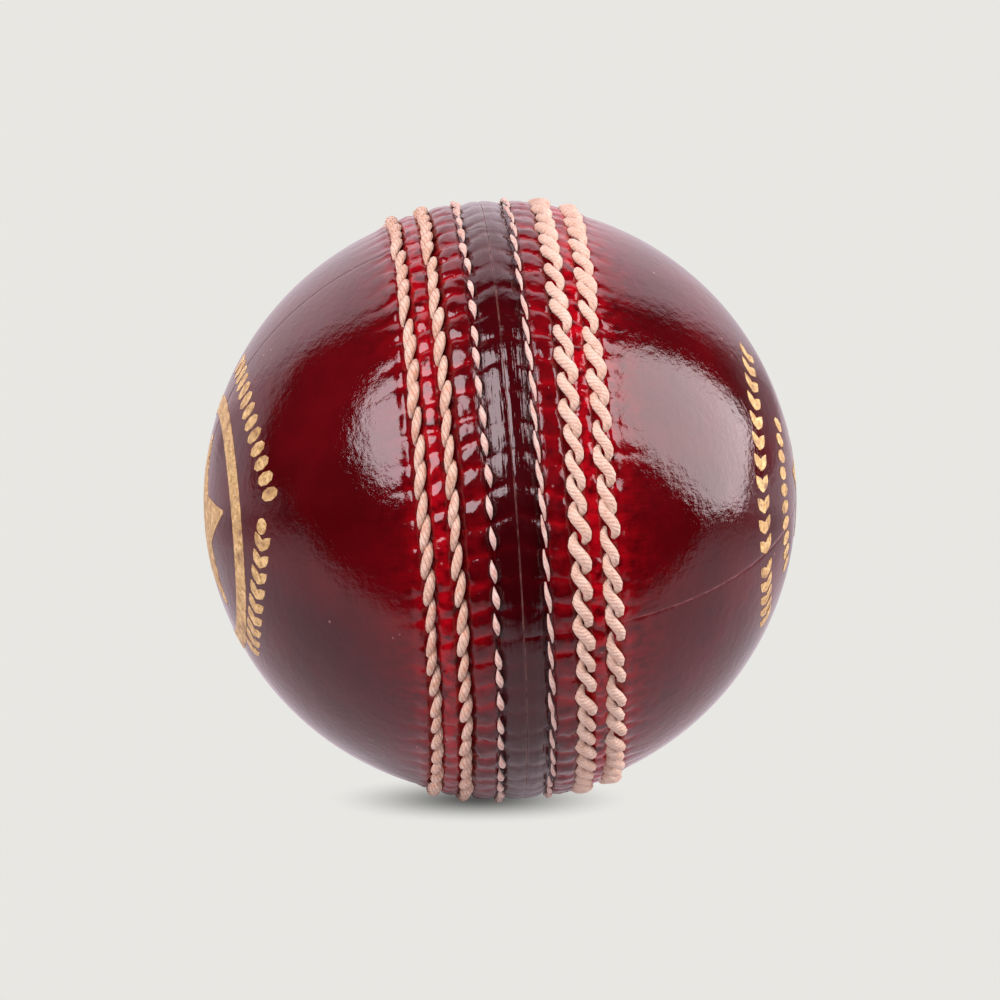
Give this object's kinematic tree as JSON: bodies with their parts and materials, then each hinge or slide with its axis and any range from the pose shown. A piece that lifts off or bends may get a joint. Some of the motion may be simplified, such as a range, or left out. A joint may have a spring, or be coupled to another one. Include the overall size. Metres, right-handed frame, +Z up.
{
  "type": "cricket ball",
  "caption": "Four-piece cricket ball: a red leather cover in two sewn cups round a cork and yarn quilt, closed by a raised seam with rows of pale stitching.",
  "frame": {"origin": "centre of the ball, which is also the centre of its bounding box", "axes": "+X is the seam's axis, through the middles of the two smooth faces; the seam's plane is YZ; the left cup is on -X and the right cup on +X; the stretch of seam at -Y faces the viewer; +Z up"},
  "size_m": [0.0714, 0.0728, 0.0728],
  "materials": {
    "cover_leather": "lacquered gloss",
    "seam_thread": "waxed linen, matte",
    "join_thread": "waxed linen, matte",
    "lining_leather": "suede, matte",
    "worsted_yarn": "wool, matte",
    "cork": "raw cork, matte",
    "core_cork_rubber": "cork granules in rubber, matte"
  },
  "bodies": {
    "root": {"core_nut": "core_cork_rubber", "yarn_winding_1": "worsted_yarn", "cork_slip_1_1": "cork", "cork_slip_1_2": "cork", "cork_slip_1_3": "cork", "cork_slip_1_4": "cork", "yarn_winding_2": "worsted_yarn", "cork_slip_2_1": "cork", "cork_slip_2_2": "cork", "cork_slip_2_3": "cork", "cork_slip_2_4": "cork", "yarn_winding_3": "worsted_yarn", "cork_slip_3_1": "cork", "cork_slip_3_2": "cork", "cork_slip_3_3": "cork", "cork_slip_3_4": "cork", "yarn_winding_4": "worsted_yarn", "left_cover_back": "cover_leather", "left_cover_front": "cover_leather", "left_join_thread": "join_thread", "left_lining_strip": "lining_leather", "left_outer_stitch_row": "seam_thread", "left_middle_stitch_row": "seam_thread", "left_closing_stitch_row": "seam_thread", "right_cover_top": "cover_leather", "right_cover_bottom": "cover_leather", "right_join_thread": "join_thread", "right_lining_strip": "lining_leather", "right_outer_stitch_row": "seam_thread", "right_middle_stitch_row": "seam_thread", "right_closing_stitch_row": "seam_thread"}
  },
  "joints": []
}
